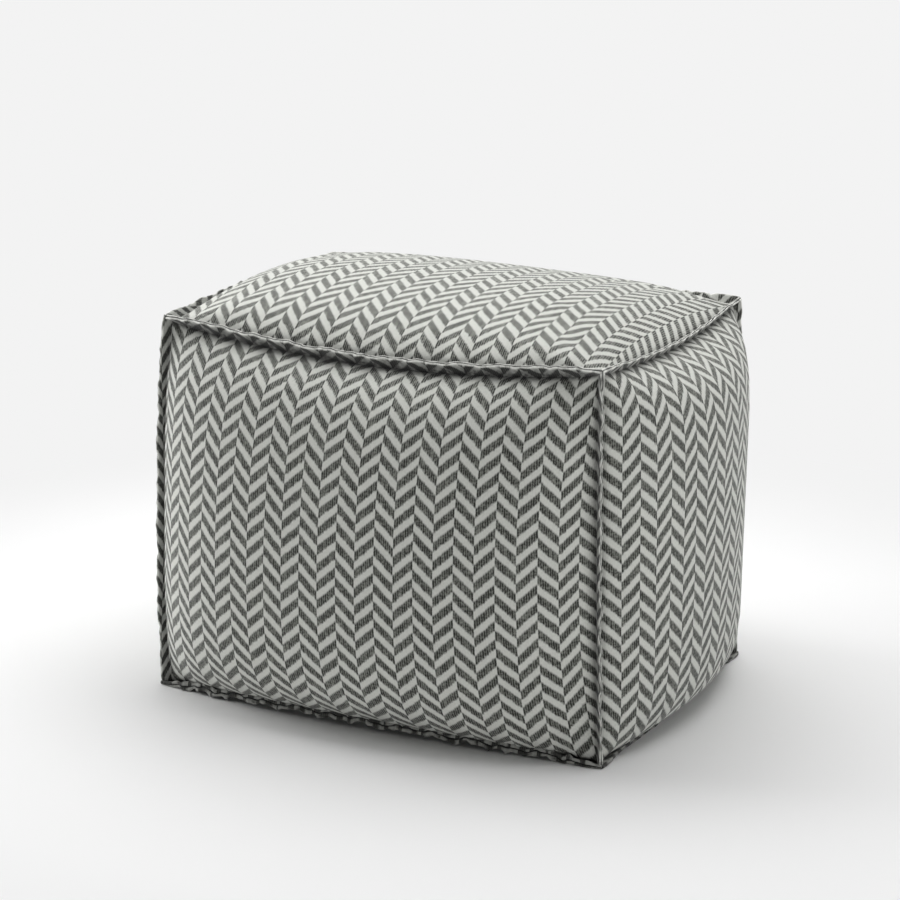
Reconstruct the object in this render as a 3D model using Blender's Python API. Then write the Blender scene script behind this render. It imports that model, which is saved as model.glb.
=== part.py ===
"""A rectangular pouf: six panels of cloth sewn into a box and filled until every panel bellies out,
with a raised flange seam along each of its twelve edges.

Metres, +Z up. The origin is on the floor under the middle of the pouf. The front panel faces -Y.

A point of the cover is named by cube coordinates (a, b, c), each from -1 to 1: a runs left to right,
b front to back, c from the floor to the top. A panel is a face of that cube and a seam is an edge.
"""

import math
from collections import namedtuple

import bmesh
import bpy
from mathutils import Vector

# Driving dimensions. Width, depth and height are taken over the tips of the seams at the corners.
WIDTH = 0.502
DEPTH = 0.360
HEIGHT = 0.400
SPREAD = 0.004           # how far each side stands in at the top, and out at the floor in front
RIDGE_REACH = 0.010      # how far a seam flange stands out from the cover
RIDGE_THICKNESS = 0.0044
BASE_RIDGE_THICKNESS = 0.0030   # the weight presses the base seams flatter
GAP = 0.0003             # between a flange and the cover it is sewn to
MITRE_GAP = 0.00025      # taken off each of two flanges that meet at a corner
BASE_SINK = 0.012        # how far the base panel would belly down if the floor did not stop it

INSET = RIDGE_REACH / math.sqrt(2)         # from the tip of a flange in to its seam, along an axis
SEAM_HALF_WIDTH = WIDTH / 2 - INSET
SEAM_HALF_DEPTH = DEPTH / 2 - INSET
SEAM_TOP = HEIGHT - INSET
SEAM_BASE = BASE_RIDGE_THICKNESS / 2

# How finely the cover is divided along X, Y and Z, and how far its lines crowd towards the seams.
DIVISIONS = (28, 20, 24)
CROWDING = 0.55

# A panel's belly, out from the flat sheet between its seams: the axis it faces and the side of the
# pouf, how deep it is, and for each direction across the panel the share of it that is a round dome
# and the power of the rest, which is steep at the seam. Lean moves the deepest place towards the
# base or the front, or the other way when it is below 0.
Panel = namedtuple("Panel", "name axis side belly dome_1 power_1 dome_2 power_2 lean")
PANELS = (
    Panel("front", 1, -1, 0.064, 0.28, 5.5, 0.40, 7.0, 0.04),
    Panel("back", 1, 1, 0.0685, 0.28, 5.5, 0.40, 7.0, 0.04),
    Panel("left", 0, -1, 0.0493, 0.60, 6.0, 0.20, 7.0, -0.15),
    Panel("right", 0, 1, 0.055, 0.64, 11.0, 0.12, 7.5, -0.17),
    Panel("top", 2, 1, 0.0525, 0.31, 9.0, 0.62, 14.0, 0.20),
)

# A seam's way between its corners: the axis it runs along, the sides of the pouf it lies on, how far
# its middle is pushed outwards and hangs down (below 0 it arches up), and the power of that curve.
Seam = namedtuple("Seam", "name axis sides push hang power")
SEAMS = (
    Seam("seam_top_front", 0, (None, -1, 1), 0.009, 0.0158, 1.9),
    Seam("seam_top_back", 0, (None, 1, 1), 0.009, 0.0040, 2.0),
    Seam("seam_top_left", 1, (-1, None, 1), 0.006, -0.0080, 2.0),
    Seam("seam_top_right", 1, (1, None, 1), 0.007, 0.0090, 2.0),
    Seam("seam_base_front", 0, (None, -1, -1), 0.016, 0.0, 2.0),
    Seam("seam_base_back", 0, (None, 1, -1), 0.014, 0.0, 2.0),
    Seam("seam_base_left", 1, (-1, None, -1), 0.010, 0.0, 2.0),
    Seam("seam_base_right", 1, (1, None, -1), 0.005, 0.0, 2.0),
    Seam("seam_front_left", 2, (-1, -1, None), 0.003, 0.0, 4.0),
    Seam("seam_front_right", 2, (1, -1, None), -0.003, 0.0, 2.0),
    Seam("seam_back_left", 2, (-1, 1, None), 0.002, 0.0, 2.0),
    Seam("seam_back_right", 2, (1, 1, None), -0.004, 0.0, 2.0),
)

# The section of a flange: how far out as a share of its reach, and how thick as a share of its
# thickness. The stitching pinches its foot to a point, and its tip lies on its middle line too, so
# that two flanges can meet in a mitre.
Station = namedtuple("Station", "out thick")
FLANGE_SIDE = (Station(0.45, 0.5), Station(0.88, 0.34))

CLOTH_COLOUR = (0.33, 0.335, 0.31, 1.0)
SEAM_COLOUR = (0.20, 0.205, 0.19, 1.0)
CLOTH_ROUGHNESS = 0.9


def rim_curve(s, dome, power):
    """Height of a belly across a panel, 0 at both seams (s = -1 and 1) and 1 in the middle."""
    return dome * (1 - s * s) + (1 - dome) * (1 - abs(s) ** power)


def share(value, side):
    """1 on that side of the cube, falling evenly to 0 on the far side."""
    return (1 + side * value) / 2


def flat_sheet(a, b, c):
    """The box that the corners span, narrower at the top and wider at the floor in front."""
    spread = SPREAD * (share(c, -1) * share(b, -1) - share(c, 1))
    return Vector((
        a * (SEAM_HALF_WIDTH + spread),
        b * (SEAM_HALF_DEPTH + spread),
        SEAM_BASE + (SEAM_TOP - SEAM_BASE) * share(c, 1),
    ))


def seam_shift(seam, cube):
    """How a seam moves the cover at a point: all of it on the seam, none on the opposite seams."""
    amount = 1 - abs(cube[seam.axis]) ** seam.power
    shift = Vector((0, 0, 0))
    for axis, side in enumerate(seam.sides):
        if side is None:
            continue
        amount *= share(cube[axis], side)
        if axis < 2:
            shift[axis] = side * seam.push
    shift.z -= seam.hang
    return shift * amount


def belly(panel, cube):
    """How far a panel stands out at a point of it."""
    across = [value for axis, value in enumerate(cube) if axis != panel.axis]
    depth = panel.belly * rim_curve(across[0], panel.dome_1, panel.power_1)
    depth *= rim_curve(across[1], panel.dome_2, panel.power_2)
    return depth * (1 - panel.lean * across[1])


def cover_point(cube):
    """The place of a point of the cover, from its cube coordinates."""
    point = flat_sheet(*cube)
    for seam in SEAMS:
        point += seam_shift(seam, cube)
    for panel in PANELS:
        if cube[panel.axis] * panel.side > 1 - 1e-6:
            point[panel.axis] += panel.side * belly(panel, cube)
    if cube[2] < -1 + 1e-6:
        sink = BASE_SINK * rim_curve(cube[0], 0.0, 8.0) * rim_curve(cube[1], 0.0, 8.0)
        point.z = max(0.0, point.z - sink)
    return point


def crowded(count):
    """Cube coordinates of the lines that divide an edge, closer together near the seams."""
    evenly = [2 * i / count - 1 for i in range(count + 1)]
    return [CROWDING * math.sin(math.pi / 2 * s) + (1 - CROWDING) * s for s in evenly]


def make_material(name, colour, roughness):
    material = bpy.data.materials.new(name)
    material.use_nodes = True
    shader = material.node_tree.nodes["Principled BSDF"]
    shader.inputs["Base Color"].default_value = colour
    shader.inputs["Roughness"].default_value = roughness
    shader.inputs["Metallic"].default_value = 0.0
    material.diffuse_color = colour
    return material


def add_object(name, mesh_data, collection, colour):
    mesh = bpy.data.meshes.new(name)
    bmesh.ops.recalc_face_normals(mesh_data, faces=mesh_data.faces)
    mesh_data.to_mesh(mesh)
    mesh_data.free()
    mesh.shade_smooth()
    mesh.set_sharp_from_angle(angle=math.radians(50))
    mesh.materials.append(make_material(name, colour, CLOTH_ROUGHNESS))
    made = bpy.data.objects.new(name, mesh)
    collection.objects.link(made)
    return made


def make_cover(collection):
    """A cube sliced along its lines, with every point then moved to its place on the filled cover."""
    cover = bmesh.new()
    bmesh.ops.create_cube(cover, size=2.0)
    for axis, count in enumerate(DIVISIONS):
        normal = Vector([float(axis == i) for i in range(3)])
        for line in crowded(count)[1:-1]:
            everything = cover.verts[:] + cover.edges[:] + cover.faces[:]
            bmesh.ops.bisect_plane(cover, geom=everything, plane_co=normal * line, plane_no=normal)
    for vertex in cover.verts:
        vertex.co = cover_point(tuple(vertex.co))
    return add_object("filled_cover", cover, collection, CLOTH_COLOUR)


def out_direction(seam):
    """Which way a flange stands: between its two panels, or along the floor at the base."""
    out = Vector([float(side or 0) for side in seam.sides])
    if seam.sides[2] == -1:
        out.z = 0.0
    return out.normalized()


def flange_section(thickness):
    """Points round a flange as (out, thick) in metres, starting at its foot."""
    side = [(RIDGE_REACH * row.out, thickness * row.thick) for row in FLANGE_SIDE]
    foot, tip = (GAP, 0.0), (RIDGE_REACH, 0.0)
    return [foot] + side + [tip] + [(out, -thick) for out, thick in reversed(side)]


def mitred(point, corner, seam, end):
    """A point of a flange's last section, slid along the seam to where the next flange begins.

    Along each axis, beyond is how far the point lies outside the corner. A flange keeps the points
    that lie less far outside along its own seam than along either other seam of the corner.
    """
    beyond = []
    for axis, side in enumerate(seam.sides):
        on_the_floor = axis == 2 and side == -1
        if side is not None and not on_the_floor:
            beyond.append((point - corner)[axis] * side)
    if seam.axis == 2 and end < 0:
        point.z = BASE_RIDGE_THICKNESS + GAP
    else:
        point[seam.axis] = corner[seam.axis] + end * (min(beyond) - MITRE_GAP)
    return point


def make_flange(seam, collection):
    """A flange: its section carried along the seam's curve, and mitred at both ends."""
    count = DIVISIONS[seam.axis]
    out = out_direction(seam)
    along = Vector([float(axis == seam.axis) for axis in range(3)])
    thick = along.cross(out)
    on_the_floor = seam.sides[2] == -1
    section = flange_section(BASE_RIDGE_THICKNESS if on_the_floor else RIDGE_THICKNESS)
    flange = bmesh.new()
    rings = []
    for i, line in enumerate(crowded(count)):
        cube = tuple(line if side is None else side for side in seam.sides)
        foot = cover_point(cube)
        points = [foot + out * o + thick * t for o, t in section]
        if i in (0, count):
            points = [mitred(point, foot, seam, math.copysign(1, line)) for point in points]
        rings.append([flange.verts.new(point) for point in points])
    bands = zip(rings[:-1], rings[1:])
    for first, second in bands:
        for j in range(len(section)):
            k = (j + 1) % len(section)
            flange.faces.new((first[j], first[k], second[k], second[j]))
    half = len(section) // 2
    for ring in (rings[0], rings[-1]):
        flange.faces.new(ring[:half + 1])
        flange.faces.new(ring[half:] + ring[:1])
    return add_object(seam.name, flange, collection, SEAM_COLOUR)


def build():
    for old in list(bpy.data.objects):
        bpy.data.objects.remove(old, do_unlink=True)
    pouf = bpy.data.collections.new("cube_pouf")
    bpy.context.scene.collection.children.link(pouf)
    make_cover(pouf)
    for seam in SEAMS:
        make_flange(seam, pouf)


build()
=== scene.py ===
# A filled pouf in broken herringbone cloth, with a turned-out seam along every edge.
# It stands on the floor, its wide front facing -Y, and everything is in metres. A place on the cover
# has three numbers from -1 to 1: a runs left to right, b front to back, c from the floor to the top.

import math

import bmesh
import bpy
import numpy as np
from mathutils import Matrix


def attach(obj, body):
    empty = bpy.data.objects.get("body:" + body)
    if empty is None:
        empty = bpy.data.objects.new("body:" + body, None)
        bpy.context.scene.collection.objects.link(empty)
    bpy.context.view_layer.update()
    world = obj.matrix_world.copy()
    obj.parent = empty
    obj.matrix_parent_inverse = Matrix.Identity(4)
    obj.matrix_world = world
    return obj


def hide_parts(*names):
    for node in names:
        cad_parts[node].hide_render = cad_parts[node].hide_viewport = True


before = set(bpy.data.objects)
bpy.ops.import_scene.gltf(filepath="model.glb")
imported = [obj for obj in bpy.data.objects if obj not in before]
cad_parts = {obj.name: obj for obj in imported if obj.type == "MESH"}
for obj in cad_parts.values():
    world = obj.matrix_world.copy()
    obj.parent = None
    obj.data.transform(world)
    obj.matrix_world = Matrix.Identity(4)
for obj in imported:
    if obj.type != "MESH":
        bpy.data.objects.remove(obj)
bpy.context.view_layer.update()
print("frame loaded:", len(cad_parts), "solids")


# the camera, where the photo was taken from
camera = {
    "azimuth": 27.5, "elevation": 15.95,   # degrees round the pouf from its front, and above the floor
    "distance": 3.0,
    "lens": 113.8, "sensor": 36.0,         # millimetres
    "aim": (0.0, 0.0, 0.2), "aimRight": -0.0068, "aimUp": 0.0426,
}


def placeCamera():
    # stands back from the aim along (sin a cos e, -cos a cos e, sin e) and looks at it
    turn, lift = math.radians(camera["azimuth"]), math.radians(camera["elevation"])
    level = math.cos(lift)
    back = np.array([math.sin(turn) * level, -math.cos(turn) * level, math.sin(lift)])
    right = np.array([math.cos(turn), math.sin(turn), 0.0])
    up = np.cross(back, right)
    aim = np.array(camera["aim"]) + right * camera["aimRight"] + up * camera["aimUp"]
    lens = bpy.data.cameras.new("camera")
    lens.lens = camera["lens"]
    lens.sensor_width = camera["sensor"]
    seen = bpy.data.objects.new("camera", lens)
    seen.location = aim + back * camera["distance"]
    seen.rotation_euler = (math.pi / 2 - lift, 0.0, turn)
    bpy.context.scene.collection.objects.link(seen)
    bpy.context.scene.camera = seen


placeCamera()
print("camera placed")


# the form of the filled cover: its solid's, on finer lines, with the bows and bellies fitted closer to
# the photo and the seams drawn in by their stitches
pouf = {
    "width": 0.502, "depth": 0.360, "height": 0.400,   # over the tips of the seams at the corners
    "spread": 0.004,          # in by this much at the top, out at the floor in front
    "seamReach": 0.010,       # how far a seam stands out at its corners
    "seamAtFloor": 0.0015,    # height of the base seams
    "baseSink": 0.012,        # how far the base would belly down through the floor
    "tuck": 0.003,            # how far the stitches pull a seam in, unless its own row says
    "tuckReach": 0.007,       # how far from the seam that shows
    "tuckFade": 0.03,         # over how long a way it fades out at a corner
    "shoulderPower": 6,       # how near its seam a panel's shoulder stays
    "paintedShadeReach": 0.0035,    # how far from a seam the painted shade of its hollow reaches
    "litTopPower": 2,           # how fast the painted top light fades as the cloth turns away from facing up
    "lines": (72, 54, 60),    # along X, Y and Z, before one subdivision
    "crowding": 0.65,         # how far the lines crowd towards the seams
}
halfSize = (pouf["width"] / 2, pouf["depth"] / 2, pouf["height"] / 2)

# axis and side a panel faces, depth of its belly, and for each direction across it the share that is
# a round dome and the power of the rest; lean moves the deepest place down or to the front, and the
# shoulder is how much shallower the belly is beside the left seam
panels = {
    "front": dict(axis=1, side=-1, belly=0.064, domes=(0.28, 0.40), powers=(5.5, 7.0), lean=0.04),
    "back": dict(axis=1, side=1, belly=0.0685, domes=(0.28, 0.40), powers=(5.5, 7.0), lean=0.04),
    "left": dict(axis=0, side=-1, belly=0.0493, domes=(0.60, 0.20), powers=(6.0, 7.0), lean=-0.15),
    "right": dict(axis=0, side=1, belly=0.055, domes=(0.64, 0.12), powers=(11.0, 9.5), lean=-0.17),
    "top": dict(
        axis=2, side=1, belly=0.0565, domes=(0.31, 0.62), powers=(9.0, 14.0), lean=0.20, shoulder=0.25),
    "base": dict(axis=2, side=-1, belly=0.0, domes=(0.0, 0.0), powers=(8.0, 8.0), lean=0.0),
}

# first row: the axis a seam runs along, the sides it lies on, how far its middle is pushed out and hangs
# down, the power of that curve, and skew, how much more it bows towards its start
# second row: how far its middle stands out, how many degrees it turns there from halfway between its
# two panels towards Z or Y, or up from the floor, how pale the painted highlight makes the crest of its
# fold, how thick it is as a share, and where it differs from most: its shade strength, how dark the
# painted shade in its hollow is, rough, how uneven it is, squeeze, how much of the cloth is gathered up
# in it, and its own tuck
seams = {
    "seam_top_front": dict(
        axis=0, sides=(0, -1, 1), push=0.009, hang=0.0158, power=1.9,
        reach=0.0112, stand=14, pale=1.0, thick=0.80, deep=1.05),
    "seam_top_back": dict(
        axis=0, sides=(0, 1, 1), push=0.009, hang=0.0040, power=2.0,
        reach=0.0090, stand=2, pale=0.90, thick=0.70, deep=0.3),
    "seam_top_left": dict(
        axis=1, sides=(-1, 0, 1), push=0.006, hang=-0.0040, power=2.0,
        reach=0.0070, stand=0, pale=0.60, thick=0.72, deep=0.6, tuck=0.0015),
    "seam_top_right": dict(
        axis=1, sides=(1, 0, 1), push=0.007, hang=0.0090, power=2.0,
        reach=0.0080, stand=16, pale=0.85, thick=0.62, deep=0.6, rough=0.6, tuck=0.0012),
    "seam_base_front": dict(
        axis=0, sides=(0, -1, -1), push=0.016, hang=-0.0062, power=2.0, skew=0.4,
        reach=0.0095, stand=14, pale=0.10, thick=1.80, deep=1.2, squeeze=2.4),
    "seam_base_back": dict(
        axis=0, sides=(0, 1, -1), push=0.014, hang=0.0, power=2.0,
        reach=0.0095, stand=12, pale=0.10, thick=1.50),
    "seam_base_left": dict(
        axis=1, sides=(-1, 0, -1), push=0.010, hang=0.0, power=2.0,
        reach=0.0095, stand=12, pale=0.10, thick=1.50),
    "seam_base_right": dict(
        axis=1, sides=(1, 0, -1), push=0.0085, hang=0.0, power=2.0,
        reach=0.0045, stand=4, pale=0.10, thick=0.80, rough=0.4),
    "seam_front_left": dict(
        axis=2, sides=(-1, -1, 0), push=0.0062, hang=0.0, power=4.0,
        reach=0.0070, stand=0, pale=0.15, thick=0.80, deep=0.6, squeeze=1.7, tuck=0.0012),
    "seam_front_right": dict(
        axis=2, sides=(1, -1, 0), push=-0.003, hang=0.0, power=2.0,
        reach=0.0090, stand=-4, pale=0.70, thick=0.50, deep=0.65, tuck=0.0014),
    "seam_back_left": dict(
        axis=2, sides=(-1, 1, 0), push=0.002, hang=0.0, power=2.0,
        reach=0.0105, stand=0, pale=0.30, thick=0.90),
    "seam_back_right": dict(
        axis=2, sides=(1, 1, 0), push=-0.004, hang=0.0, power=2.0,
        reach=0.0105, stand=0, pale=0.70, thick=0.70, deep=0.3),
}


def rimCurve(s, dome, power):
    # dome * (1 - s^2) + (1 - dome) * (1 - |s|^power): 0 at both seams and 1 in the middle
    return dome * (1 - s * s) + (1 - dome) * (1 - np.abs(s) ** power)


def share(value, side):
    # 1 on that side of the pouf, falling evenly to 0 on the far side
    return (1 + side * value) / 2


def seamDistance(seam, cube):
    # across the flat box: the root of the squares of the distances from the seam's two sides
    sides = enumerate(seam["sides"])
    return np.hypot(*[(1 - side * cube[axis]) * halfSize[axis] for axis, side in sides if side])


def seamBow(seam, cube):
    # (push, hang) * (1 - |along|^power) * (1 - skew * along) * the shares of the seam's two sides
    along = cube[seam["axis"]]
    amount = 1 - np.abs(along) ** seam["power"]
    amount = amount * (1 - seam.get("skew", 0.0) * along)
    shift = np.zeros(3)
    for axis, side in enumerate(seam["sides"]):
        if side:
            amount = amount * share(cube[axis], side)
            shift[axis] = side * seam["push"] if axis < 2 else 0.0
    shift[2] -= seam["hang"]
    return amount[..., None] * shift


def seamTuck(seam, cube):
    # tuck * e^-(distance / reach)^2 along the way the seam faces, level at the floor, fading out at
    # the corners
    facing = np.array([float(side) for side in seam["sides"]])
    if seam["sides"][2] == -1:
        facing[2] = 0.0
    toCorner = (1 - np.abs(cube[seam["axis"]])) * halfSize[seam["axis"]]
    near = np.exp(-(seamDistance(seam, cube) / pouf["tuckReach"]) ** 2)
    depth = seam.get("tuck", pouf["tuck"]) * near
    depth = depth * np.clip(toCorner / pouf["tuckFade"], 0, 1)
    return depth[..., None] * facing / np.linalg.norm(facing)


def bellyDepth(panel, cube, slack):
    # belly * (1 - slack) * rim curve * rim curve * (1 - lean * second) * (1 - shoulder * share^power)
    first, second = [cube[axis] for axis in range(3) if axis != panel["axis"]]
    depth = panel["belly"] * (1 - slack) * rimCurve(first, panel["domes"][0], panel["powers"][0])
    depth = depth * rimCurve(second, panel["domes"][1], panel["powers"][1])
    depth = depth * (1 - panel["lean"] * second)
    return depth * (1 - panel.get("shoulder", 0.0) * share(first, -1) ** pouf["shoulderPower"])


def coverPoints(cube, slack=0.0):
    # the box of the corners, plus each seam's bow, less its tuck, plus each panel's belly on that
    # panel, and the base pressed flat on the floor
    a, b, c = cube
    inset = pouf["seamReach"] / math.sqrt(2)
    spread = pouf["spread"] * (share(c, -1) * share(b, -1) - share(c, 1))
    low, high = pouf["seamAtFloor"], pouf["height"] - inset
    points = np.stack([
        a * (halfSize[0] - inset + spread),
        b * (halfSize[1] - inset + spread),
        low + (high - low) * share(c, 1),
    ], axis=-1)
    for seam in seams.values():
        points = points + seamBow(seam, cube)
    for seam in seams.values():
        points = points - seamTuck(seam, cube)
    for panel in panels.values():
        onPanel = cube[panel["axis"]] * panel["side"] > 1 - 1e-6
        out = panel["side"] * bellyDepth(panel, cube, slack)
        points[..., panel["axis"]] += np.where(onPanel, out, 0.0)
    basePowers = panels["base"]["powers"]
    sink = pouf["baseSink"] * rimCurve(a, 0.0, basePowers[0]) * rimCurve(b, 0.0, basePowers[1])
    points[..., 2] -= np.where(c < -1 + 1e-6, np.minimum(sink, points[..., 2]), 0.0)
    return points


def crowded(count):
    # k sin(pi s / 2) + (1 - k) s over even s: lines closer together near both seams
    s = np.linspace(-1.0, 1.0, count + 1)
    return pouf["crowding"] * np.sin(math.pi / 2 * s) + (1 - pouf["crowding"]) * s


coverLines = [crowded(count) for count in pouf["lines"]]

# A place in the weave is counted in columns across and periods (a stripe and its gap) along. For each
# direction across a panel: the number at `anchor`, how many there are from seam to seam, how many more
# there are halfway, where the belly makes the cloth longer, and towards the far seam, as shares
cloth = {
    "columnWidth": 0.0196, "period": 0.0190, "swell": 2.3,
    "front": (dict(anchor=0.5, number=-12.0, count=23.92, more=0.081, fan=0.0),
              dict(anchor=0.5, number=10.89, count=21.7, more=0.036, fan=0.0)),
    "back": (dict(anchor=0.5, number=1.40, count=-23.92, more=0.081, fan=0.0),
             dict(anchor=0.5, number=10.30, count=21.7, more=0.036, fan=0.0)),
    "left": (dict(anchor=1.0, number=0.60, count=18.05, more=0.0, fan=0.05),
             dict(anchor=0.0, number=0.10, count=21.65, more=0.0, fan=0.0)),
    "right": (dict(anchor=0.0, number=1.80, count=18.05, more=0.0, fan=0.05),
              dict(anchor=0.0, number=0.50, count=21.65, more=0.0, fan=0.0)),
    "top": (dict(anchor=0.5, number=-12.05, count=23.92, more=0.116, fan=0.0),
            dict(anchor=0.0, number=21.89, count=17.8, more=0.12, fan=0.0)),
    "base": (dict(anchor=0.5, number=-12.0, count=25.0, more=0.0, fan=0.0),
             dict(anchor=0.0, number=0.0, count=-18.0, more=0.0, fan=0.0)),
}


def panelCube(name):
    # the panel's places, first direction down the rows of the array and second along them
    panel = panels[name]
    first, second = [axis for axis in range(3) if axis != panel["axis"]]
    cube = [None, None, None]
    cube[first], cube[second] = np.meshgrid(coverLines[first], coverLines[second], indexing="ij")
    cube[panel["axis"]] = np.full_like(cube[first], float(panel["side"]))
    return cube


def shareOfLength(points, along):
    # how far along its line each point lies, as a share of the line's length
    steps = np.linalg.norm(np.diff(points, axis=along), axis=-1)
    walked = np.cumsum(steps, axis=along)
    walked = np.insert(walked, 0, 0.0, axis=along)
    return walked / np.take(walked, [-1], axis=along)


def clothPlaces(name, cube, points):
    # number + count * (1 + more * (1 - |other|^swell) + fan * other) * (share of the length - anchor)
    across = [cube[axis] for axis in range(3) if axis != panels[name]["axis"]]
    places = []
    for along, counted in enumerate(cloth[name]):
        other = across[1 - along]
        more = counted["more"] * (1 - np.abs(other) ** cloth["swell"]) + counted["fan"] * other
        count = counted["count"] * (1 + more)
        places.append(counted["number"] + count * (shareOfLength(points, along) - counted["anchor"]))
    return np.stack(places, axis=-1)


def gridFaces(rows, columns):
    # corner numbers of the quads of a grid of rows * columns points
    number = np.arange(rows * columns).reshape(rows, columns)
    corners = (number[:-1, :-1], number[1:, :-1], number[1:, 1:], number[:-1, 1:])
    return np.stack([corner.ravel() for corner in corners], axis=-1)


def note(mesh, name, values):
    # three numbers for each point, kept with the mesh
    kept = mesh.attributes.new(name, "FLOAT_VECTOR", "POINT")
    kept.data.foreach_set("vector", np.ascontiguousarray(values, dtype=np.float32).ravel())


def meshFromGrids(name, grids, noted):
    # grids are (points, places, notes): their quads in one mesh, welded where they meet, with places
    # as a UV map and the three notes as an attribute of the points
    points, faces, places, notes = [], [], [], []
    start = 0
    for gridPoints, gridPlaces, gridNotes in grids:
        rows, columns = gridPoints.shape[:2]
        quads = gridFaces(rows, columns)
        points.append(gridPoints.reshape(-1, 3))
        places.append(gridPlaces.reshape(-1, 2)[quads.ravel()])
        notes.append(gridNotes.reshape(-1, 3))
        faces.append(quads + start)
        start += rows * columns
    mesh = bpy.data.meshes.new(name)
    mesh.from_pydata(np.concatenate(points).tolist(), [], np.concatenate(faces).tolist())
    layer = mesh.uv_layers.new(name="cloth")
    layer.data.foreach_set("uv", np.concatenate(places).ravel())
    note(mesh, noted, np.concatenate(notes))
    welded = bmesh.new()
    welded.from_mesh(mesh)
    bmesh.ops.remove_doubles(welded, verts=welded.verts[:], dist=1e-6)
    bmesh.ops.recalc_face_normals(welded, faces=welded.faces[:])
    welded.to_mesh(mesh)
    welded.free()
    mesh.shade_smooth()
    return mesh


def addPiece(name, mesh):
    # an object at the origin, with its place in its mesh
    piece = bpy.data.objects.new(name, mesh)
    bpy.context.scene.collection.objects.link(piece)
    return piece


def pointsOf(mesh):
    # where its points are
    points = np.empty(len(mesh.vertices) * 3)
    mesh.vertices.foreach_get("co", points)
    return points.reshape(-1, 3)


def normalsOf(mesh):
    # which way its surface faces at each point
    normals = np.empty(len(mesh.vertices) * 3, dtype=np.float32)
    mesh.vertex_normals.foreach_get("vector", normals)
    return normals.reshape(-1, 3)


def cubeOf(mesh):
    # the three numbers of each point of the cover
    cube = np.empty(len(mesh.vertices) * 3, dtype=np.float32)
    mesh.attributes["cube"].data.foreach_get("vector", cube)
    return cube.reshape(-1, 3)


def edgesOf(mesh):
    # the two points that each edge joins
    ends = np.empty(len(mesh.edges) * 2, dtype=np.int32)
    mesh.edges.foreach_get("vertices", ends)
    return ends.reshape(-1, 2)


def settleMesh(piece):
    # the mesh as its modifiers leave it takes the place of the piece's own
    seen = piece.evaluated_get(bpy.context.evaluated_depsgraph_get())
    mesh = bpy.data.meshes.new_from_object(seen)
    piece.modifiers.clear()
    piece.data = mesh
    return mesh


filling = {
    "slack": 0.08,        # the cloth starts this much flatter than it ends
    "gather": 0.05,       # how much longer the cloth is than its seams, right beside them
    "gatherReach": 0.16,  # how far in that goes, of half a panel
    "frames": 20,
    "cloth": dict(
        quality=5, mass=0.3, tension_stiffness=30.0, compression_stiffness=30.0,
        shear_stiffness=15.0, bending_stiffness=0.3, air_damping=2.0,
        use_pressure=True, uniform_pressure_force=4.0),
    "evened": 60,         # rounds of evening out that tell the form from its wrinkles
    "wrinkles": 1.3,      # how strongly they show
    "clear": 3,           # millimetres from a seam in which a pucker deepens
    "cap": 0.006,         # no point may end further than this from the form
}

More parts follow.
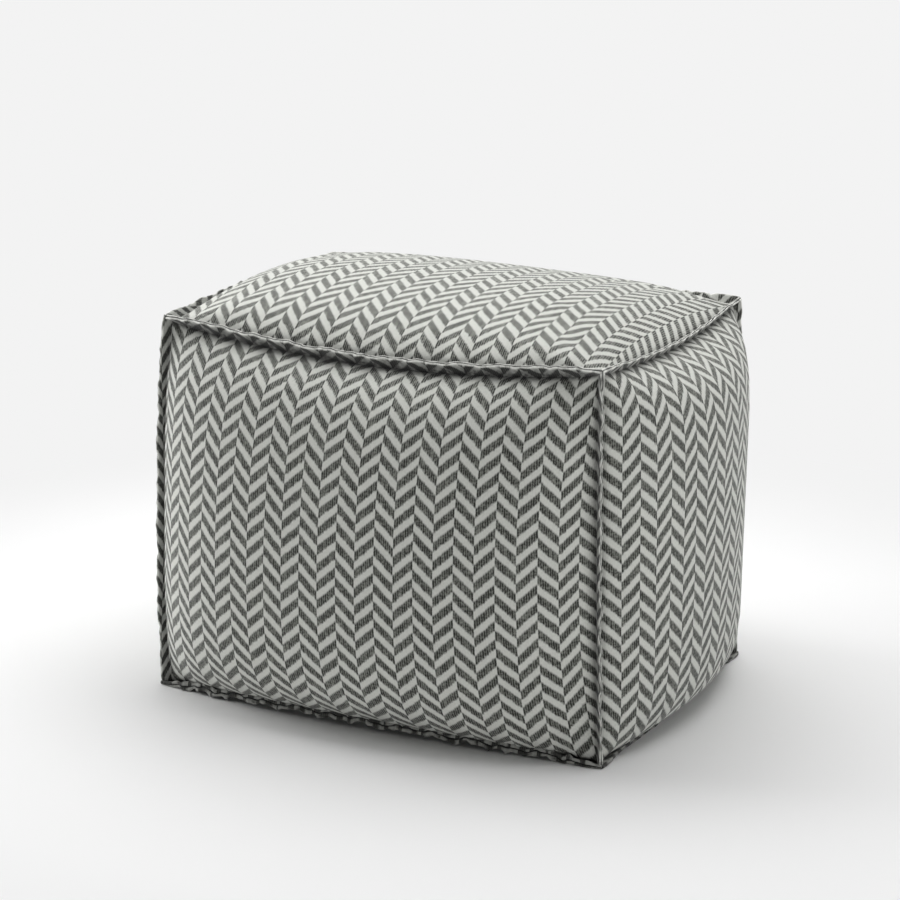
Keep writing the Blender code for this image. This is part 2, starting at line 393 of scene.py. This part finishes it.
# where the stitches gather the cloth: place along the seam from -1 to 1, half width, depth and reach
# into the two panels, in millimetres
puckers = {
    "seam_top_front": (
        (-0.93, 7, 1.5, 16), (-0.78, 5, 1.1, 22), (-0.66, 8, 1.6, 18), (-0.49, 6, 0.9, 26),
        (-0.37, 5, 1.3, 15), (-0.19, 9, 1.2, 30), (-0.02, 6, 1.6, 20), (0.13, 5, 0.8, 24),
        (0.29, 8, 1.4, 17), (0.44, 5, 1.0, 28), (0.61, 7, 1.5, 21), (0.76, 5, 1.0, 17),
        (0.92, 6, 1.6, 20),
    ),
    "seam_top_right": (
        (-0.88, 5, 1.2, 14), (-0.58, 7, 1.0, 20), (-0.30, 5, 1.3, 16), (0.04, 6, 0.8, 22),
        (0.37, 5, 1.2, 15), (0.66, 7, 1.0, 18), (0.90, 5, 1.3, 13),
    ),
    "seam_top_left": (
        (-0.86, 6, 1.4, 18), (-0.52, 7, 1.0, 24), (-0.12, 5, 1.2, 16), (0.31, 7, 0.9, 22),
        (0.70, 5, 1.2, 17), (0.92, 5, 1.3, 14),
    ),
    "seam_top_back": (
        (-0.90, 6, 1.4, 16), (-0.63, 8, 1.0, 24), (-0.35, 5, 1.4, 17), (-0.08, 7, 1.0, 26),
        (0.24, 6, 1.3, 18), (0.52, 8, 1.0, 22), (0.80, 5, 1.4, 15),
    ),
    "seam_front_right": (
        (-0.91, 6, 1.5, 14), (-0.72, 5, 0.9, 18), (-0.41, 8, 1.1, 20), (-0.13, 5, 0.8, 14),
        (0.20, 7, 1.0, 18), (0.48, 5, 1.2, 15), (0.71, 6, 1.4, 22), (0.90, 5, 1.7, 18),
    ),
    "seam_front_left": (
        (-0.90, 6, 1.4, 15), (-0.60, 7, 0.9, 20), (-0.25, 6, 1.0, 16), (0.12, 8, 0.9, 22),
        (0.50, 6, 1.1, 18), (0.82, 5, 1.6, 20),
    ),
    "seam_back_left": (
        (-0.80, 6, 1.2, 16), (-0.30, 8, 0.9, 20), (0.25, 6, 1.1, 18), (0.78, 6, 1.4, 17),
    ),
    "seam_back_right": (
        (-0.76, 6, 1.3, 15), (-0.22, 7, 1.0, 22), (0.33, 6, 1.0, 16), (0.84, 5, 1.4, 18),
    ),
    "seam_base_front": (
        (-0.90, 6, 1.7, 18), (-0.71, 8, 1.2, 26), (-0.52, 5, 1.6, 16), (-0.33, 7, 1.1, 24),
        (-0.14, 5, 1.5, 18), (0.06, 8, 1.2, 28), (0.27, 5, 1.5, 16), (0.45, 7, 1.0, 22),
        (0.64, 5, 1.6, 18), (0.86, 7, 1.8, 22),
    ),
    "seam_base_right": (
        (-0.88, 6, 1.7, 18), (-0.45, 7, 1.1, 22), (0.02, 6, 1.3, 17), (0.50, 8, 1.0, 24),
    ),
    "seam_base_left": (
        (-0.70, 6, 1.2, 18), (-0.20, 8, 1.0, 22), (0.36, 6, 1.2, 17), (0.80, 6, 1.4, 18),
    ),
    "seam_base_back": (
        (-0.76, 7, 1.3, 20), (-0.31, 6, 1.1, 18), (0.15, 8, 1.0, 26), (0.66, 6, 1.4, 17),
    ),
}


def onSeam(cube):
    # whether a point lies on a seam or corner, where two of its three numbers are -1 or 1
    return np.sum(np.abs(cube) > 1 - 1e-4, axis=-1) >= 2


def onBase(cube):
    # whether a point lies on the base panel
    return cube[:, 2] < -1 + 1e-4


def gatheredPoints(cube, whole):
    # the cloth as cut: spread along each seam, most beside it: x * (1 + gather * e^(-inwards / reach))
    spread = np.zeros_like(whole)
    for axis in range(3):
        others = [i for i in range(3) if i != axis]
        inwards = 1 - np.abs(cube[:, others])
        beside = np.exp(-np.max(inwards, axis=1) / filling["gatherReach"])
        middle = halfSize[2] if axis == 2 else 0.0
        spread[:, axis] = (whole[:, axis] - middle) * filling["gather"] * beside
    return whole + spread


def puckerDepth(cube):
    # for each pucker: depth * e^-(along / width)^2 * e^-(distance / reach) * (1 - e^-(distance / clear))
    total = np.zeros(len(cube))
    for name, places in puckers.items():
        seam = seams[name]
        distance = seamDistance(seam, cube.T) * 1000
        fromSeam = 1 - np.exp(-distance / filling["clear"])
        for place, width, depth, reach in places:
            along = (cube[:, seam["axis"]] - place) * halfSize[seam["axis"]] * 1000
            spread = width * (1 + distance / reach / 2)
            total += depth * np.exp(-(along / spread) ** 2 - distance / reach) * fromSeam
    return total / 1000 * ~(onSeam(cube) | onBase(cube))


def evenedOut(values, ends, rounds):
    # each point moves halfway to the mean of its neighbours, again and again
    neighbours = np.bincount(ends.ravel(), minlength=len(values))
    for _ in range(rounds):
        total = np.bincount(ends[:, 0], values[ends[:, 1]], len(values))
        total += np.bincount(ends[:, 1], values[ends[:, 0]], len(values))
        values = (values + total / neighbours) / 2
    return values


def blownUp(piece, flatter, cut, pinned):
    # the points of a cloth cut as `cut` that starts at `flatter`, held where pinned and blown up from
    # inside
    piece.shape_key_add(name="Basis")
    sewn = piece.shape_key_add(name="cut")
    sewn.data.foreach_set("co", cut.ravel())
    sewn.value = 0.0
    piece.data.shape_keys.key_blocks["Basis"].data.foreach_set("co", flatter.ravel())
    held = piece.vertex_groups.new(name="held")
    held.add(np.flatnonzero(pinned).tolist(), 1.0, "REPLACE")
    blown = piece.modifiers.new("filling", "CLOTH")
    for key, value in filling["cloth"].items():
        setattr(blown.settings, key, value)
    blown.settings.effector_weights.gravity = 0.0
    blown.settings.vertex_group_mass = "held"
    blown.settings.rest_shape_key = sewn
    blown.collision_settings.use_collision = False
    blown.collision_settings.use_self_collision = False
    blown.point_cache.frame_end = filling["frames"]
    for step in range(1, filling["frames"] + 1):
        bpy.context.scene.frame_set(step)
    mesh = settleMesh(piece)
    bpy.context.scene.frame_set(1)
    return pointsOf(mesh)


def fillCover(piece):
    # form + normal * (wrinkles of the blown-up cloth - puckers), capped
    cube = cubeOf(piece.data)
    whole = coverPoints(list(cube.T))
    flatter = coverPoints(list(cube.T), filling["slack"])
    normals = normalsOf(piece.data)
    wrinkles = np.zeros(len(cube))
    pinned = onSeam(cube) | onBase(cube)
    filled = blownUp(piece, flatter, gatheredPoints(cube, whole), pinned)
    rise = np.sum((filled - whole) * normals, axis=1)
    wrinkles = (rise - evenedOut(rise, edgesOf(piece.data), filling["evened"])) * ~pinned
    inMillimetres = np.percentile(wrinkles, (1, 50, 99)) * 1000
    print("wrinkles of the filled cloth, mm:", np.round(inMillimetres, 2))
    out = filling["wrinkles"] * wrinkles - puckerDepth(cube)
    out = np.clip(out, -filling["cap"], filling["cap"])
    piece.data.vertices.foreach_set("co", (whole + normals * out[:, None]).ravel())
    piece.data.update()


def creaseSeams(mesh):
    # the edges along the seams stay sharp through the subdivision
    seamPoint = onSeam(cubeOf(mesh))
    sharp = np.all(seamPoint[edgesOf(mesh)], axis=1).astype(float)
    mesh.attributes.new("crease_edge", "FLOAT", "EDGE").data.foreach_set("value", sharp)


def shadeCover(mesh):
    # three notes: the painted shade of the nearest seam's hollow, its shade strength * e^-(distance /
    # reach)^2, no painted highlight, and the painted top light, (height of its normal)^power, lighter
    # where the cloth faces up
    cube = cubeOf(mesh).T
    paintedShades = []
    for seam in seams.values():
        near = np.exp(-(seamDistance(seam, cube) / pouf["paintedShadeReach"]) ** 2)
        paintedShades.append(seam.get("deep", 1.0) * near)
    paintedSeamShade = np.max(paintedShades, axis=0)
    litTop = np.clip(normalsOf(mesh)[:, 2], 0, 1) ** pouf["litTopPower"]
    note(mesh, "shade", np.stack([paintedSeamShade, np.zeros_like(paintedSeamShade), litTop], axis=-1))


panelCloth, coverGrids = {}, []
for name in panels:
    cube = panelCube(name)
    points = coverPoints(cube)
    panelCloth[name] = clothPlaces(name, cube, points)
    coverGrids.append((points, panelCloth[name], np.stack(cube, axis=-1)))
cover = addPiece("filled_cloth", meshFromGrids("filled_cloth", coverGrids, "cube"))
fillCover(cover)
creaseSeams(cover.data)
finer = cover.modifiers.new("finer", "SUBSURF")
finer.levels = finer.render_levels = 1
shadeCover(settleMesh(cover))
print("cover built:", len(cover.data.vertices), "points")


# the seams: two layers turned out, folded and stitched through; lengths in metres, and each wave is
# its length and its strength
seamLook = {
    "stations": 260,
    "halfThick": 0.0022,
    "wave": 0.0012,         # how far a seam's edge wanders to either side
    "waves": ((0.039, 0.6), (0.067, 0.4), (0.019, 0.3), (0.0123, 0.18)),
    "uneven": 0.0009,       # how far its reach comes and goes
    "unevenWaves": ((0.047, 0.5), (0.021, 0.4), (0.083, 0.4), (0.0117, 0.25)),
    "crumple": 0.12,        # how much its thickness comes and goes
    "floorCrumple": 0.30,
    "crumpleWaves": ((0.017, 0.6), (0.029, 0.5), (0.0095, 0.4)),
    "floorRough": 1.8,      # how uneven the base seams are, where others are 1
    "floorPaintedShade": 0.62,    # and how much painted shade darkens them all over, at the least
    "floorTuck": 0.5,       # and how much of their tuck their reach makes up for
    "corner": 0.045,        # over how long a way from a corner it takes on its own reach and turn,
    "loose": 0.02,          # and its unevenness
    "blunt": 0.20,          # how much shorter it stands right at the corner,
    "bluntReach": 0.012,    # and over how long a way
    "mitre": 0.014,         # over how long a way its end is sheared into the mitre,
    "mitrePower": 1.5,
    "wavePower": 1.5,       # how much more its edge wanders than its foot
    "clear": 0.0002,        # how far it stays above the floor
}

# half the section of a seam: how far out as a share of its reach, how thick as a share of its half
# thickness, how much painted shade it gets in the hollow and how much painted highlight near the crest
# of its fold; pinched by its stitches, fullest past them, and dented where the two folds meet
seamSection = np.array([
    (-0.15, 0.30, 1.0, 0.0), (0.05, 0.34, 1.0, 0.0), (0.22, 0.40, 1.0, 0.0), (0.36, 0.55, 0.9, 0.0),
    (0.50, 0.76, 0.85, 0.0), (0.64, 0.94, 0.8, 0.0), (0.78, 1.10, 0.7, 0.0), (0.89, 1.16, 0.4, 0.15),
    (0.95, 1.06, 0.0, 0.9), (1.00, 0.80, 0.0, 1.0), (1.01, 0.50, 0.0, 1.0), (0.98, 0.22, 0.6, 0.6),
    (0.91, 0.10, 1.1, 0.0), (0.80, 0.0, 1.1, 0.0),
])


def seamPanels(seam, thick):
    # the two panels that a seam joins, turned round where its +thick side faces away from the first
    joined = [
        name for axis in range(3) for name, panel in panels.items()
        if panel["axis"] == axis and panel["side"] == seam["sides"][axis]
    ]
    first = panels[joined[0]]
    facing = thick[len(thick) // 2, first["axis"]] * first["side"]
    return joined if facing > 0 else joined[::-1]


def clothAlongSeam(seam, panelName, along):
    # the cloth's columns and periods on a panel's edge, and which way they grow beyond it
    first, second = [axis for axis in range(3) if axis != panels[panelName]["axis"]]
    way = 1 if first == seam["axis"] else 0
    side = seam["sides"][(first, second)[way]]
    edge = 0 if side < 0 else -1
    row = panelCloth[panelName][:, edge] if way else panelCloth[panelName][edge]
    lines = coverLines[seam["axis"]]
    beside = np.stack([np.interp(along, lines, row[:, i]) for i in (0, 1)], axis=-1)
    growth = np.zeros(2)
    perMetre = 1 / (cloth["columnWidth"], cloth["period"])[way]
    growth[way] = side * math.copysign(perMetre, cloth[panelName][way]["count"])
    return beside, growth


def ripple(walked, seed, waves):
    # sum of strength * sin(2 pi walked / length + its own start), the starts from the seed
    starts = np.random.default_rng(seed).uniform(0, 2 * math.pi, len(waves))
    return np.sum([
        strength * np.sin(2 * math.pi * walked / length + start)
        for (length, strength), start in zip(waves, starts)], axis=0)


def seamFacing(seam, turn):
    # between the seam's two panels, turned by so many degrees towards the later of its two axes
    first, second = [axis for axis, side in enumerate(seam["sides"]) if side]
    atFloor = seam["sides"][2] == -1
    angle = np.radians((0 if atFloor else 45) + turn)
    facing = np.zeros((len(turn), 3))
    facing[:, first] = seam["sides"][first] * np.cos(angle)
    facing[:, second] = (1 if atFloor else seam["sides"][second]) * np.sin(angle)
    return facing


def lengthOne(vectors):
    # each vector at length 1
    return vectors / np.linalg.norm(vectors, axis=1, keepdims=True)


def makeSeam(name, seed):
    # foot(t) + out * o + thick * h: the section (o, h) carried along the seam, its ends sheared along
    # the seam by what it stands out, so that the three seams of a corner meet in a mitre
    look, seam = seamLook, seams[name]
    atFloor = seam["sides"][2] == -1
    along = crowded(look["stations"])
    foot = coverPoints([
        along if side == 0 else np.full_like(along, float(side)) for side in seam["sides"]])
    steps = np.linalg.norm(np.diff(foot, axis=0), axis=1)
    walked = np.concatenate([[0.0], np.cumsum(steps)])
    toEnd = np.minimum(walked, walked[-1] - walked)
    free = np.clip(toEnd / look["corner"], 0, 1)
    free = free * free * (3 - 2 * free)
    loose = np.clip(toEnd / look["loose"], 0, 1)
    rough = seam.get("rough", look["floorRough"] if atFloor else 1.0)

    # which way it stands and how far
    tangent = lengthOne(np.gradient(foot, axis=0))
    outs = seamFacing(seam, seam["stand"] * free)
    outs = lengthOne(outs - tangent * np.sum(tangent * outs, axis=1, keepdims=True))
    thick = np.cross(tangent, outs)
    reach = pouf["seamReach"] + (seam["reach"] - pouf["seamReach"]) * free
    tucked = seam.get("tuck", pouf["tuck"]) * np.clip(toEnd / pouf["tuckFade"], 0, 1)
    reach = reach + tucked * (look["floorTuck"] if atFloor else 1.0)
    reach = reach * (1 - look["blunt"] * np.clip(1 - toEnd / look["bluntReach"], 0, 1) ** 2)
    reach = reach + rough * look["uneven"] * ripple(walked, seed, look["unevenWaves"]) * loose

    # how it wanders, how thick it is and how far its ends are sheared
    lean = rough * look["wave"] * ripple(walked, seed + 50, look["waves"]) * loose
    crumple = look["floorCrumple"] * min(rough, 1.0) if atFloor else look["crumple"]
    fullness = 1 + crumple * ripple(walked, seed + 90, look["crumpleWaves"])
    half = look["halfThick"] * fullness * (1 + (seam["thick"] - 1) * loose)
    shear = np.clip(1 - toEnd / look["mitre"], 0, 1) ** look["mitrePower"]
    shear = shear * np.where(walked < walked[-1] / 2, -1.0, 1.0)
    slope = 1.0 if atFloor else 1 / math.sqrt(2)

    o = seamSection[None, :, 0] * reach[:, None]
    beyond = np.maximum(o, 0)
    leaning = lean[:, None] * np.clip(seamSection[None, :, 0], 0, 1) ** look["wavePower"]
    mitred = shear[:, None] * beyond * slope
    # painted shade in the hollow and painted highlight on the crest, from the section's last two
    # numbers; the base seams are painted darker all over
    shadeAndHighlight = seamSection[:, [2, 3, 3]] * (seam.get("deep", 1.0), seam["pale"], 0)
    shadeAndHighlight = np.maximum(shadeAndHighlight, (look["floorPaintedShade"] if atFloor else 0.0, 0, 0))
    sides = []
    for side, panelName in zip((1, -1), seamPanels(seam, thick)):
        h = side * seamSection[None, :, 1] * half[:, None]
        points = foot[:, None, :] + outs[:, None, :] * o[..., None]
        points = points + thick[:, None, :] * (h + leaning)[..., None]
        points = points + np.eye(3)[seam["axis"]] * mitred[..., None]
        points[..., 2] = np.maximum(points[..., 2], look["clear"])
        beside, growth = clothAlongSeam(seam, panelName, along)
        places = beside[:, None, :] + growth * seam.get("squeeze", 1.0) * beyond[..., None]
        sides.append((points, places, np.broadcast_to(shadeAndHighlight, points.shape)))
    mesh = meshFromGrids(name, sides + seamEnds(sides), "shade")
    return addPiece(name.replace("seam_", "turned_seam_"), mesh)


def seamEnds(sides):
    # a flat cap over each end: strips between the two sides of the section
    return [
        tuple(np.stack([grid[end] for grid in both]) for both in zip(*sides))
        for end in (0, -1)
    ]


turnedSeams = [makeSeam(name, number * 7 + 3) for number, name in enumerate(seams)]
print("seams built:", len(turnedSeams))


class Wire:
    # a number in a shader, from a socket: arithmetic on it adds Math nodes
    def __init__(self, paint, socket):
        self.paint = paint
        self.socket = socket

    def maths(self, operation, *values):
        return self.paint.node("ShaderNodeMath", {"operation": operation}, values)[0]

    def __add__(self, other):
        return self.maths("ADD", self, other)

    def __sub__(self, other):
        return self.maths("SUBTRACT", self, other)

    def __rsub__(self, other):
        return self.maths("SUBTRACT", other, self)

    def __mul__(self, other):
        return self.maths("MULTIPLY", self, other)

    def __pow__(self, power):
        return self.maths("POWER", self, power)

    __radd__ = __add__
    __rmul__ = __mul__

    def floor(self):
        return self.maths("FLOOR", self)

    def part(self):
        # what is left above its floor
        return self.maths("FRACT", self)

    def size(self):
        return self.maths("ABSOLUTE", self)

    def wrapped(self, length):
        return self.maths("WRAP", self, length, 0.0)

    def between(self, low, high):
        sockets = {"Value": self, "Min": low, "Max": high}
        return self.paint.node("ShaderNodeClamp", {}, sockets)[0]

    def ramp(self, low, high):
        # 0 below low, 1 above high, a smooth step between
        sockets = {"Value": self, "From Min": low, "From Max": high, "To Min": 0.0, "To Max": 1.0}
        return self.paint.node("ShaderNodeMapRange", {"interpolation_type": "SMOOTHSTEP"}, sockets)[0]


class Paint:
    # one material and its nodes
    def __init__(self, name):
        self.material = bpy.data.materials.new(name)
        self.material.use_nodes = True
        self.tree = self.material.node_tree
        self.shader = self.tree.nodes["Principled BSDF"]

    def node(self, kind, settings, sockets):
        # adds a node, makes its settings, then fills its sockets by name or in order
        made = self.tree.nodes.new(kind)
        for key, value in settings.items():
            setattr(made, key, value)
        pairs = sockets.items() if isinstance(sockets, dict) else enumerate(sockets)
        for key, value in pairs:
            self.fill(made.inputs[key], value)
        return [Wire(self, socket) for socket in made.outputs if socket.enabled]

    def fill(self, socket, value):
        # a link where the value is a wire, otherwise the socket's own number or colour
        if isinstance(value, Wire):
            self.tree.links.new(value.socket, socket)
        else:
            socket.default_value = value

    def finish(self, values):
        # fills the shader's own sockets by name
        for name, value in values.items():
            self.fill(self.shader.inputs[name], value)

    def mix(self, amount, first, second):
        # colour: first where amount is 0, second where it is 1
        sockets = {"Factor": amount, 6: first, 7: second}
        return self.node("ShaderNodeMix", {"data_type": "RGBA"}, sockets)[0]

    def point(self, x, y):
        # a place in the plane from two numbers
        return self.node("ShaderNodeCombineXYZ", {}, [x, y, 0.0])[0]

    def noise(self, place, scale):
        # a soft random number and a soft random colour
        return self.node("ShaderNodeTexNoise", {}, {"Vector": place, "Scale": scale, "Detail": 2.0})


herringbone = {
    "rise": 1.0,           # periods a stripe climbs across one column
    "shift": 0.5,          # periods by which one column is moved from the last
    "threads": 9,          # yarns in a column
    "stepped": 0.35,       # how far a stripe climbs in steps from yarn to yarn
    "lean": 0.30,          # how far a dark yarn leans over its length, in yarns
    "darkShare": 0.535,    # of a period
    "litTopShare": 0.035,    # how much less of it is dark under the painted top light
    "soft": 0.18,          # how much of a period its edges take
    "edge": dict(chance=0.05, rough=0.12),       # how ragged they are, from yarn to yarn and all over
    "wander": (0.05, 0.10),      # how far the stripes wander, in columns and in periods
    "wanderScale": 2.6,    # and how often, in each of them
    "fleckScale": 7,       # flecks in a period
    "blotchScale": 0.45,   # size of the blotches, against the flecks
    "pale": (0.70, 0.71, 0.665, 1.0),
    "grain": (0.45, 0.455, 0.42, 1.0),           # of the pale cloth
    "grainy": dict(least=0.06, yarn=0.10, rough=0.7),
    "gap": (0.30, 0.31, 0.275, 1.0),             # between the dark yarns
    "litTopGap": (0.38, 0.39, 0.35, 1.0),          # and under the painted top light
    "dark": (0.024, 0.025, 0.021, 1.0),          # a dark yarn's middle
    # the last number of tone: how much the painted shade of a seam's hollow darkens the dark yarns
    "tone": dict(least=0.24, yarn=0.77, rough=1.8, blotch=0.9, paintedSeamShade=0.6),
    "litTopTone": dict(least=-0.14, yarn=0.21),    # what the painted top light adds to that
    "chance": (0.6, 1.2),                        # the least and the most of a dark yarn's strength
    "crestHighlight": 0.78,         # how much of its pattern the painted highlight on the crest of a fold washes out
    # the colour of the painted highlight on the crest of a fold
    "crestHighlightColour": (0.84, 0.845, 0.80, 1.0),
    "crestHighlightBreaks": dict(strength=3.0, middle=0.54),   # how the blotches break up the painted highlight
    "paintedSeamShade": 0.80,        # how much the painted shade darkens the cloth deep in the hollow of a seam
    # the colour that the painted shade darkens towards
    "paintedShadeColour": (0.006, 0.006, 0.005, 1.0),
    "roughness": 0.88,
    "sheen": 0.21, "sheenRoughness": 0.5,
    "bump": dict(strength=0.35, distance=0.0006, rough=0.4),
}


def herringbonePaint():
    # phase = along + side * rise * (across - half a column) + shift * column: dark where what is left
    # over its floor is under darkShare; across a column, each dark yarn is 1 - |2 part - 1|^2
    look = herringbone
    paint = Paint("herringbone_cloth")
    uv = paint.node("ShaderNodeUVMap", {"uv_map": "cloth"}, {})[0]
    flatColumn, flatAlong, _ = paint.node("ShaderNodeSeparateXYZ", {}, [uv])
    shade = paint.node("ShaderNodeAttribute", {"attribute_name": "shade"}, {})[1]
    # the shade note: painted shade in the seams' hollows, painted highlight on their crests and painted
    # top light
    seamShadeNote, seamHighlightNote, litTop = paint.node("ShaderNodeSeparateXYZ", {}, [shade])

    # the stripes' place, a little astray
    place = paint.point(flatColumn * look["wanderScale"], flatAlong * look["wanderScale"])
    drift = paint.noise(place, 1.0)[1]
    driftAcross, driftAlong, _ = paint.node("ShaderNodeSeparateXYZ", {}, [drift])
    column = flatColumn + look["wander"][0] * (driftAcross - 0.5)
    along = flatAlong + look["wander"][1] * (driftAlong - 0.5)
    number, across = column.floor(), column.part()
    side = 1 - 2 * number.wrapped(2.0)
    yarns = across * look["threads"]
    yarn, inYarn = yarns.floor(), yarns.part()
    stepped = look["stepped"] / look["threads"] * (yarn + 0.5) + (1 - look["stepped"]) * across
    phase = along + side * look["rise"] * (stepped - 0.5) + look["shift"] * number
    row, inRow = phase.floor(), phase.part()

    # chance: one number for each dark yarn; rough and blotch: fine and coarse unevenness, about 0.5
    fine = paint.point(column * look["threads"], along * look["fleckScale"])
    rough = paint.noise(fine, 1.0)[0]
    blotch = paint.noise(fine, look["blotchScale"])[0]
    key = paint.point(number * look["threads"] + yarn, row)
    chance = paint.node("ShaderNodeTexWhiteNoise", {"noise_dimensions": "2D"}, {"Vector": key})[0]
    # the painted highlight on the seams' crests, broken up by the blotches
    broken = look["crestHighlightBreaks"]
    crestHighlight = seamHighlightNote * (1 + broken["strength"] * (blotch - broken["middle"]))
    crestHighlight = crestHighlight.between(0.0, 1.0)
    # the painted shade in the seams' hollows, broken up by the blotches
    paintedSeamShade = seamShadeNote * (0.5 + blotch)

    # where a stripe is dark
    uneven = look["edge"]["chance"] * (chance - 0.5) + look["edge"]["rough"] * (rough - 0.5)
    uneven = inRow + uneven
    # less of a period is dark under the painted top light
    darkEnd = look["darkShare"] - look["litTopShare"] * litTop
    stripe = uneven.ramp(0.0, look["soft"]) * (1 - uneven.ramp(darkEnd, darkEnd + look["soft"]))
    # the painted highlight washes the stripes out on the crests
    stripe = stripe * (1 - look["crestHighlight"] * crestHighlight)

    # how dark it is there: darkest in the middle of a yarn, whose dark part is narrower under the
    # painted top light
    leaning = (inYarn + look["lean"] * (inRow - 0.25)).part()
    middle = 1 - ((leaning - 0.5) * 2).size() ** 2.0
    narrowed = middle * (1 - litTop * (1 - middle))
    least, most = look["chance"]
    strength = least + (most - least) * chance
    # the painted top light makes the dark yarns and the gaps between them paler where the cloth faces up
    plain, litTopAdds = look["tone"], look["litTopTone"]
    tone = plain["least"] + litTopAdds["least"] * litTop
    tone = tone + (plain["yarn"] + litTopAdds["yarn"] * litTop) * narrowed * strength
    tone = tone + plain["rough"] * (rough - 0.5) + plain["blotch"] * (blotch - 0.5)
    # the dark yarns take the painted shade of the seams' hollows too
    tone = (tone + plain["paintedSeamShade"] * paintedSeamShade).between(0.0, 1.0)
    darkCloth = paint.mix(tone, paint.mix(litTop, look["gap"], look["litTopGap"]), look["dark"])

    # the pale cloth under the painted highlight of the seams' crests, the two together, and the painted
    # shade of the seams' hollows over them
    grainy = look["grainy"]
    grain = grainy["least"] + grainy["yarn"] * (1 - middle) + grainy["rough"] * (rough - 0.5)
    paleCloth = paint.mix(grain.between(0.0, 1.0), look["pale"], look["grain"])
    colour = paint.mix(stripe, paint.mix(crestHighlight, paleCloth, look["crestHighlightColour"]), darkCloth)
    colour = paint.mix(look["paintedSeamShade"] * paintedSeamShade, colour, look["paintedShadeColour"])
    bump = paint.node("ShaderNodeBump", {}, {
        "Strength": look["bump"]["strength"],
        "Distance": look["bump"]["distance"],
        "Height": middle + look["bump"]["rough"] * rough,
    })[0]
    paint.finish({
        "Base Color": colour, "Normal": bump, "Roughness": look["roughness"],
        "Sheen Weight": look["sheen"], "Sheen Roughness": look["sheenRoughness"],
    })
    return paint.material


weave = herringbonePaint()
for piece in [cover] + turnedSeams:
    piece.data.materials.append(weave)
print("materials made")


# the floor and the light
studio = {
    "floor": 0.93,          # colour of the floor round the pouf
    "backdrop": 0.896,      # its brightness far off, where it glows and takes no shadow
    "near": 0.40, "far": 0.94,   # from how far off the pouf it turns from the one to the other
    "half": 60.0,           # half the floor's width
    "under": 0.0004,        # how far it lies under the pouf
    "world": 0.05,
}

lights = {
    "overhead": dict(size=(2.6, 2.0), place=(0.0, 0.5, 2.2), watts=52.0),
    "left": dict(size=(1.4, 1.4), place=(-2.4, -0.3, 1.1), watts=43.0),
    "lowFront": dict(size=(1.8, 0.25), place=(0.4, -2.0, 0.15), watts=4.0),
    "right": dict(size=(1.2, 1.2), place=(2.5, 0.2, 0.9), watts=13.0),
}


def makeFloor():
    # one flat square; off = root of (x^2 + y^2), ramped from near to far
    mesh = bpy.data.meshes.new("floor")
    corners = [(-1, -1), (1, -1), (1, 1), (-1, 1)]
    points = [(x * studio["half"], y * studio["half"], -studio["under"]) for x, y in corners]
    mesh.from_pydata(points, [], [(0, 1, 2, 3)])
    floor = addPiece("floor", mesh)
    paint = Paint("floor")
    place = paint.node("ShaderNodeTexCoord", {}, {})[3]   # Object
    x, y, _ = paint.node("ShaderNodeSeparateXYZ", {}, [place])
    off = ((x * x + y * y) ** 0.5).ramp(studio["near"], studio["far"])
    grey = (studio["floor"],) * 3 + (1.0,)
    white = (studio["backdrop"],) * 3 + (1.0,)
    black = (0.0, 0.0, 0.0, 1.0)
    paint.finish({
        "Base Color": paint.mix(off, grey, black), "Emission Color": paint.mix(off, black, white),
        "Emission Strength": 1.0, "Specular IOR Level": 0.0, "Roughness": 0.9,
    })
    mesh.materials.append(paint.material)


def addLight(name, light):
    # a soft panel that faces the middle of the pouf
    lamp = bpy.data.lights.new(name, "AREA")
    lamp.shape = "RECTANGLE"
    lamp.size, lamp.size_y = light["size"]
    lamp.energy = light["watts"]
    stand = bpy.data.objects.new(name, lamp)
    stand.location = light["place"]
    x, y, z = np.array(light["place"]) - np.array(camera["aim"])
    stand.rotation_euler = (math.atan2(math.hypot(x, y), z), 0.0, math.atan2(x, -y))
    bpy.context.scene.collection.objects.link(stand)


def makeWorld():
    # a dim white all round
    world = bpy.data.worlds.new("studio")
    world.use_nodes = True
    background = world.node_tree.nodes["Background"]
    background.inputs["Color"].default_value = (1.0, 1.0, 1.0, 1.0)
    background.inputs["Strength"].default_value = studio["world"]
    bpy.context.scene.world = world


makeFloor()
for name, light in lights.items():
    addLight(name, light)
makeWorld()
bpy.context.scene.view_settings.view_transform = "Standard"
print("studio lit")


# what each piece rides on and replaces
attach(cover, "root")
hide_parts("filled_cover")
for name, piece in zip(seams, turnedSeams):
    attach(piece, "root")
    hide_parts(name)
